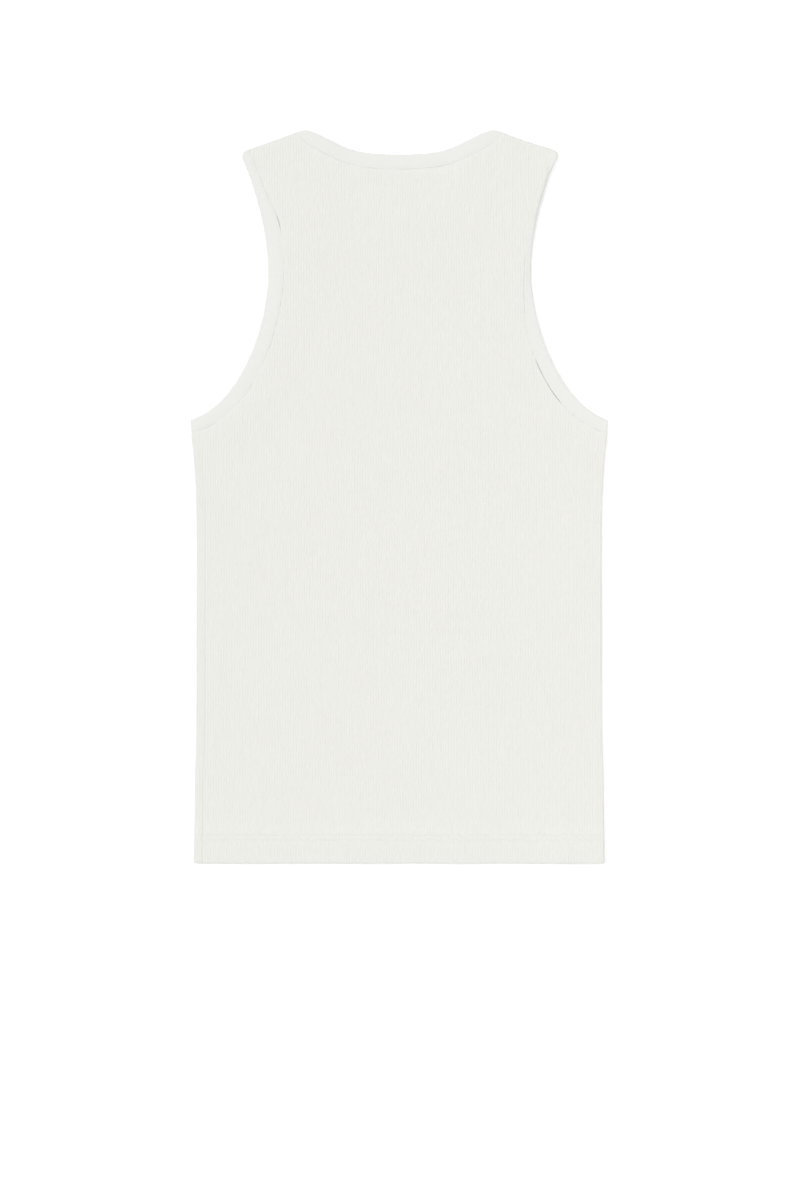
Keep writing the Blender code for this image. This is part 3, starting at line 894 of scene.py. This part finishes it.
def ringOf(name, back, front, droop, firstTurn, lastTurn, reach, flip):
    # a strip's whole ring: along the back, over its first fold, along the front and back over
    # its last one. A turn holds where the strip's two ends lie and the way out over the fold.
    for atStart, (ends, outward) in ((False, firstTurn), (True, lastTurn)):
        settleEnd(back, atStart, ends[0], outward, reach)
        settleEnd(front, not atStart, ends[1], outward, reach)
    ups = np.array(bandSection)[:, 2]
    footBack, thickBack = liftBack(back, droop)
    thickFront = footFront = np.full_like(front["across"], layers["binding"])
    backRings = withHeight(back["plan"], footBack + ups * thickBack)
    frontRings = withHeight(front["plan"], footFront - ups * thickFront)
    first, firstOuts = turnOver((footBack[-1], thickBack[-1]), (footFront[0], thickFront[0]),
                                *firstTurn, reach)
    last, lastOuts = turnOver((footBack[0], thickBack[0]), (footFront[-1], thickFront[-1]),
                              *lastTurn, reach)
    rings = np.concatenate((backRings, first, frontRings, last[::-1]))
    # normals of the strip's face, for the ribs across it and for its stitches
    outs = np.array([(0.0, 0.0, 1.0)] * len(backRings) + firstOuts
                    + [(0.0, 0.0, -1.0)] * len(frontRings) + lastOuts[::-1])
    run = runAlong(rings[:, footCorner])
    ribStart, ribWhole = bands["ribsFrom"]
    share = np.clip((ups - ribStart) / (ribWhole - ribStart), 0.0, 1.0)
    valley = ribValley(run)[:, None] * share
    rings = rings - outs[:, None, :] * (bands["ribDepth"] * valley)[:, :, None]
    inward = unit(rings[:, footCorner] - rings[:, foldCorner])
    long, short = bands["unevenRuns"]
    wobble = bands["unevenness"] * (np.sin(run / long) + np.sin(run / short + 1.0)) * 0.5
    foldShare = np.clip(1.0 - np.array(bandSection)[:, 0] * 2.0, 0.0, 1.0)
    flat = inward * [1.0, 1.0, 0.0]
    rings = rings + flat[:, None, :] * (np.abs(wobble)[:, None] * foldShare)[:, :, None]
    return bandMesh(name, rings, flip), rings, outs


stitches = {
    "length": 0.0029,
    "spacing": 0.0034,
    "radius": 0.00017,
    "sides": 6,
    "rings": 5,
    "dive": 0.00030,
    "slim": 0.55,            # how much thinner its ends are
    "sink": 0.00002,
    "lie": 0.6,              # height of its middle over a strip's groove, in radii
    "aim": 0.4,              # share of its length over which it takes the groove's direction
    "hemEnd": 0.004,         # from a hem row's end to the side seam
    "stagger": 0.0011,       # by which the second hem row is out of step with the first
    "onRib": 0.42,           # level of the hem's thread, as a share of a rib's height
}


def oneStitch():
    # a short length of thread along X, its ends diving into the cloth below it
    bpy.ops.object.select_all(action="DESELECT")
    bpy.ops.mesh.primitive_cylinder_add(
        vertices=stitches["sides"], radius=stitches["radius"], depth=stitches["length"],
        end_fill_type="NGON", rotation=(0.0, math.pi / 2, 0.0))
    thread = bpy.context.object
    bpy.ops.object.transform_apply(location=False, rotation=True, scale=False)
    form = bmesh.new()
    form.from_mesh(thread.data)
    long = stitches["length"] / 2
    for i in range(1, stitches["rings"]):
        place = -long + 2 * long * i / stitches["rings"]
        bmesh.ops.bisect_plane(form, geom=form.verts[:] + form.edges[:] + form.faces[:],
                               dist=1e-6, plane_co=(place, 0, 0), plane_no=(1, 0, 0))
    for vert in form.verts:
        share = abs(vert.co.x) / long
        slim = 1.0 - stitches["slim"] * share ** 4
        vert.co.y *= slim
        vert.co.z = vert.co.z * slim - stitches["dive"] * share ** 3
    bmesh.ops.triangulate(form, faces=[f for f in form.faces if len(f.verts) > 4])
    places = np.array([vert.co[:] for vert in form.verts])
    faces = [[vert.index for vert in face.verts] for face in form.faces]
    form.free()
    bpy.data.objects.remove(thread, do_unlink=True)
    return places, faces


def stitchRow(name, centres, alongs, outs):
    # copies of the stitch at given places, joined into one piece
    places, faces = oneStitch()
    verts, allFaces = [], []
    for centre, along, out in zip(centres, alongs, outs):
        along = unit(along - out * (along @ out))
        aside = np.cross(out, along)
        moved = (centre + places[:, :1] * along + places[:, 1:2] * aside + places[:, 2:] * out)
        first = len(verts)
        verts += moved.tolist()
        allFaces += [[first + i for i in face] for face in faces]
    return smoothPiece(name, verts, allFaces)


def bandStitches(name, rings, outs):
    # a row all round in the groove of a strip
    line = rings[:, grooveCorner] - outs * stitches["sink"]
    run = runAlong(line, closed=True)
    count = round(run[-1] / stitches["spacing"])
    at = (np.arange(count) + 0.5) * run[-1] / count
    closed = lambda values: np.append(values, values[0])
    sample = lambda values, where: np.stack(
        [np.interp(where, run, closed(values[:, k])) for k in range(3)], axis=-1)
    reach = stitches["length"] * stitches["aim"]
    ahead = sample(line, np.minimum(at + reach, run[-1]))
    behind = sample(line, np.maximum(at - reach, 0.0))
    normals = unit(sample(outs, at))
    centres = sample(line, at) + normals * stitches["radius"] * stitches["lie"]
    return stitchRow(name, centres, ahead - behind, normals)


def hemStitches(name, isFront):
    spots = []
    for number, row in enumerate(hemStitch["rows"]):
        y = cut["bottom"] + row
        reach = float(halfWidth(np.array(y))) - stitches["hemEnd"]
        count = int(2 * reach / stitches["spacing"])
        start = stitches["stagger"] * number - reach
        spots += [(start + (i + 0.5) * 2 * reach / count, y) for i in range(count)]
    x, y = np.array(spots).T
    if isFront:
        z = np.full_like(x, stitches["radius"] * 1.1)       # just clear of the floor
        out = np.array((0.0, 0.0, -1.0))
    else:
        z = backFace(x, y) + ribs["height"] * stitches["onRib"]
        out = np.array((0.0, 0.0, 1.0))
    centres = np.stack((x, y, z), axis=-1)
    alongs = np.tile((1.0, 0.0, 0.0), (len(x), 1))
    return stitchRow(name, centres, alongs, np.tile(out, (len(x), 1)))


# Materials

clothShader = {"specular": 0.25, "sheenRoughness": 0.6, "noiseRoughness": 0.55, "tone": 0.90}


def addNode(tree, kind, settings=None, **inputs):
    # inputs are named as on the node, or i0, i1 and so on by their order
    node = tree.nodes.new(kind)
    for key, value in (settings or {}).items():
        setattr(node, key, value)
    for key, value in inputs.items():
        socket = node.inputs[int(key[1:]) if key[1:].isdigit() else key]
        if isinstance(value, bpy.types.NodeSocket):
            tree.links.new(value, socket)
        else:
            socket.default_value = value
    return node


def calc(tree, operation, first, second=0.0, third=0.0):
    node = addNode(tree, "ShaderNodeMath", {"operation": operation}, i0=first, i1=second, i2=third)
    return node.outputs[0]


def cloudy(tree, scale, detail, stretch=(1.0, 1.0, 1.0)):
    # noise about 0.5 on the piece's own coordinates
    coords = addNode(tree, "ShaderNodeTexCoord").outputs["Object"]
    mapped = addNode(tree, "ShaderNodeMapping", None, Vector=coords, Scale=stretch).outputs[0]
    return addNode(tree, "ShaderNodeTexNoise", None, Vector=mapped, Scale=scale,
                   Detail=detail, Roughness=clothShader["noiseRoughness"]).outputs["Fac"]


def startMaterial(name, cloth):
    material = bpy.data.materials.new(name)
    material.use_nodes = True
    shader = material.node_tree.nodes["Principled BSDF"]
    shader.inputs["Roughness"].default_value = cloth["roughness"]
    shader.inputs["Specular IOR Level"].default_value = clothShader["specular"]
    shader.inputs["Sheen Weight"].default_value = cloth["sheen"]
    shader.inputs["Sheen Roughness"].default_value = clothShader["sheenRoughness"]
    return material, material.node_tree, shader


def finishMaterial(tree, shader, cloth, tone, height):
    # colour from dark, tone 0, to light, tone 1, and bumps of a height
    colour = addNode(tree, "ShaderNodeMix", {"data_type": "RGBA"}, i0=tone,
                     i6=(*cloth["dark"], 1.0), i7=(*cloth["light"], 1.0))
    tree.links.new(colour.outputs[2], shader.inputs["Base Color"])
    strength, distance = cloth["bump"]
    bump = addNode(tree, "ShaderNodeBump", None, Strength=strength, Distance=distance, Height=height)
    tree.links.new(bump.outputs[0], shader.inputs["Normal"])


ribKnit = {
    "map": "knit",
    "pitch": ribs["pitch"],
    "course": 0.00115,           # height of one row of loops
    "slant": 0.55,
    "light": (0.854, 0.853, 0.816),
    "dark": (0.734, 0.730, 0.687),
    # painted shade: the low parts of each row of loops made darker, following their bumps
    "paintedLoopShade": 0.035,
    # painted shade in the rib valleys: where it starts, and how much darker they are made
    "valleyShadeStart": 0.28,         # in pitches from a crest
    "paintedValleyShade": -0.10,
    "fuzz": (1400.0, 0.16, (1.0, 0.45, 1.0)),       # scale, tone, stretch
    "clouds": ((85.0, 3.0, 0.08), (9.0, 2.0, 0.08)),    # scale, detail, tone
    "balance": 0.16,             # the noises' own middle
    "loopBump": 0.45,
    "bump": (0.35, 0.00018),     # strength, distance
    "roughness": 0.93,
    "sheen": 0.12,
}

bandCloth = {
    "map": "strip",
    "pitch": bands["ribPitch"],
    "course": 0.0011,
    "slant": 0.55,
    "light": (0.846, 0.845, 0.817),
    "dark": (0.740, 0.738, 0.705),
    # painted shade: the low parts of each row of loops made darker, following their bumps
    "paintedLoopShade": 0.03,
    # painted shade in the valleys of the strip's ribs: where it starts, and how much darker they are
    # made
    "valleyShadeStart": 0.3,
    "paintedValleyShade": -0.16,
    "fuzz": (1500.0, 0.16, (1.0, 1.0, 1.0)),
    "clouds": ((90.0, 3.0, 0.14),),
    "balance": 0.15,
    "loopBump": 0.4,
    "bump": (0.3, 0.00015),
    "roughness": 0.93,
    "sheen": 0.12,
}


def knitMaterial(name, cloth):
    # ribs across the first direction of the piece's map, and rows of slanted loops up the other,
    # with painted shade that darkens the rib valleys and the low parts of the loops
    material, tree, shader = startMaterial(name, cloth)
    flat = addNode(tree, "ShaderNodeUVMap", {"uv_map": cloth["map"]}).outputs[0]
    split = addNode(tree, "ShaderNodeSeparateXYZ", None, Vector=flat)
    across = calc(tree, "MULTIPLY", split.outputs[0], 1.0 / cloth["pitch"])
    toCrest = calc(tree, "PINGPONG", across, 0.5)       # 0 on a crest, 0.5 in a valley
    course = calc(tree, "MULTIPLY", split.outputs[1], 1.0 / cloth["course"])
    slanted = calc(tree, "MULTIPLY_ADD", toCrest, 2.0 * cloth["slant"], course)
    loop = calc(tree, "SINE", calc(tree, "MULTIPLY", slanted, 2.0 * math.pi))
    # mask of the painted shade in the rib valleys
    valley = addNode(tree, "ShaderNodeMapRange", {"interpolation_type": "SMOOTHSTEP"},
                     Value=toCrest, i1=cloth["valleyShadeStart"], i2=0.5, i3=0.0, i4=1.0).outputs[0]
    fuzzScale, fuzzTone, fuzzStretch = cloth["fuzz"]
    fuzz = cloudy(tree, fuzzScale, 3.0, fuzzStretch)
    # the valleys' painted shade, and the fuzz's random tone
    changes = [(valley, cloth["paintedValleyShade"]), (fuzz, fuzzTone)]
    changes += [(cloudy(tree, scale, detail), weight) for scale, detail, weight in cloth["clouds"]]
    # painted shade: the loops' colour follows their bump, darker where they are low
    tone = calc(tree, "MULTIPLY_ADD", loop, cloth["paintedLoopShade"], clothShader["tone"])
    for value, weight in changes:
        tone = calc(tree, "ADD", tone, calc(tree, "MULTIPLY", value, weight))
    tone = calc(tree, "SUBTRACT", tone, cloth["balance"])
    height = calc(tree, "ADD", calc(tree, "MULTIPLY", loop, cloth["loopBump"]), fuzz)
    finishMaterial(tree, shader, cloth, tone, height)
    return material


thread = {
    "light": (0.87, 0.87, 0.84),
    "dark": (0.76, 0.76, 0.725),
    "twist": (2600.0, 0.6),      # scale, tone
    "lint": (300.0, 0.5),
    "bump": (0.4, 0.00005),
    "roughness": 0.75,
    "sheen": 0.1,
}


def threadMaterial():
    material, tree, shader = startMaterial("sewing_thread", thread)
    twist, lint = (cloudy(tree, thread[kind][0], 2.0) for kind in ("twist", "lint"))
    tone = calc(tree, "ADD", calc(tree, "MULTIPLY", twist, thread["twist"][1]),
                calc(tree, "MULTIPLY", lint, thread["lint"][1]))
    finishMaterial(tree, shader, thread, tone, twist)
    return material


def drawOutTip(mesh):
    # the right shoulder tip lies a little further out and up than the left one
    places = placesOf(mesh)
    share = ramp(places[:, 0], *cut["tipPlaces"]) * ramp(places[:, 1], *cut["tipLevels"])
    places[:, :2] += share[:, None] * cut["rightTipOut"]
    movePlaces(mesh, places)


def finishPiece(piece, material, nodes=()):
    drawOutTip(piece.data)
    piece.data.materials.append(material)
    if nodes:
        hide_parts(*nodes)
    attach(piece, "root")


print("stage: camera, light and floor")

picture = {
    "height": 1.1464,           # metres of floor from the top of the picture to the bottom
    "middle": (0.0007, -0.0986),
    "distance": 3.2,
    "farthest": 50.0,
}
cameraData = bpy.data.cameras.new("camera")
cameraData.lens = cameraData.sensor_width * picture["distance"] / picture["height"]
cameraData.clip_end = picture["farthest"]
camera = bpy.data.objects.new("camera", cameraData)
camera.location = (*picture["middle"], picture["distance"])
bpy.context.collection.objects.link(camera)
bpy.context.scene.camera = camera
bpy.context.scene.view_settings.view_transform = "Standard"

light = {
    "sky": 0.45,
    "overhead": {"strength": 1.17, "angle": 110.0, "from": (0.15, 0.10, 1.0)},
    "window": {"strength": 0.79, "angle": 24.0, "from": (-0.95, 0.25, 1.05)},
    "reflector": {"strength": 1.9, "size": 1.0, "place": (1.3, -0.2, 1.2)},
}
world = bpy.data.worlds.new("studio")
world.use_nodes = True
sky = world.node_tree.nodes["Background"].inputs
sky["Color"].default_value = (1.0, 1.0, 1.0, 1.0)
sky["Strength"].default_value = light["sky"]
bpy.context.scene.world = world


def addLamp(name, kind):
    lamp = bpy.data.lights.new(name, kind)
    lamp.energy = light[name]["strength"]
    placed = bpy.data.objects.new(name, lamp)
    toward = Vector(light[name]["from" if kind == "SUN" else "place"])
    placed.rotation_euler = toward.to_track_quat("Z", "Y").to_euler()
    bpy.context.collection.objects.link(placed)
    return lamp, placed


for lampName in ("overhead", "window"):
    addLamp(lampName, "SUN")[0].angle = math.radians(light[lampName]["angle"])
reflector, reflectorPlaced = addLamp("reflector", "AREA")
reflector.size = light["reflector"]["size"]
reflectorPlaced.location = light["reflector"]["place"]

ground = {
    "size": 60.0,
    "level": -0.0002,            # just under the cloth, so the two never fight for one place
    "look": {"Base Color": (0.95, 0.95, 0.95, 1.0), "Roughness": 0.9,
             "Emission Color": (1.0, 1.0, 1.0, 1.0), "Emission Strength": 0.15},
}
bpy.ops.mesh.primitive_plane_add(size=ground["size"], location=(0.0, 0.0, ground["level"]))
floor = bpy.context.object
floor.name = "floor"
floorMaterial = bpy.data.materials.new("floor_white")
floorMaterial.use_nodes = True
for socket, value in ground["look"].items():
    floorMaterial.node_tree.nodes["Principled BSDF"].inputs[socket].default_value = value
floor.data.materials.append(floorMaterial)
floor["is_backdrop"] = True

ribCloth = knitMaterial("ivory_rib_knit", ribKnit)
stripCloth = knitMaterial("ivory_binding", bandCloth)
sewingThread = threadMaterial()


def makePanel(name, node, isFront):
    panel, kinds = cutPanel(name, isFront)
    dressPanel(panel, kinds, isFront)
    panel.data.shade_smooth()
    finishPiece(panel, ribCloth, [node])
    return panel


def makeBand(made, nodes):
    piece, rings, outs = made
    finishPiece(piece, stripCloth, nodes)
    row = bandStitches(piece.name.replace("band", "stitches"), rings, outs)
    finishPiece(row, sewingThread)
    return piece, row


print("stage: front panel")
frontPanel = makePanel("front_cloth", "front_panel", True)

print("stage: back panel")
backPanel = makePanel("back_cloth", "back_panel", False)

print("stage: bindings")
for side, sideName in ((1, "right"), (-1, "left")):
    armNodes = ["arm_binding_" + sideName + end for end in ("_back", "_front")]
    piece, row = makeBand(armBand(side, sideName), armNodes)
piece, row = makeBand(neckBand(), ["neck_binding_back", "neck_binding_front"])

print("stage: hem stitching")
hemBack = hemStitches("hem_stitches_back", False)
finishPiece(hemBack, sewingThread)
hemFront = hemStitches("hem_stitches_front", True)
finishPiece(hemFront, sewingThread)

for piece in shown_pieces():
    triangles = sum(len(face.vertices) - 2 for face in piece.data.polygons)
    print(piece.name, triangles, "triangles")
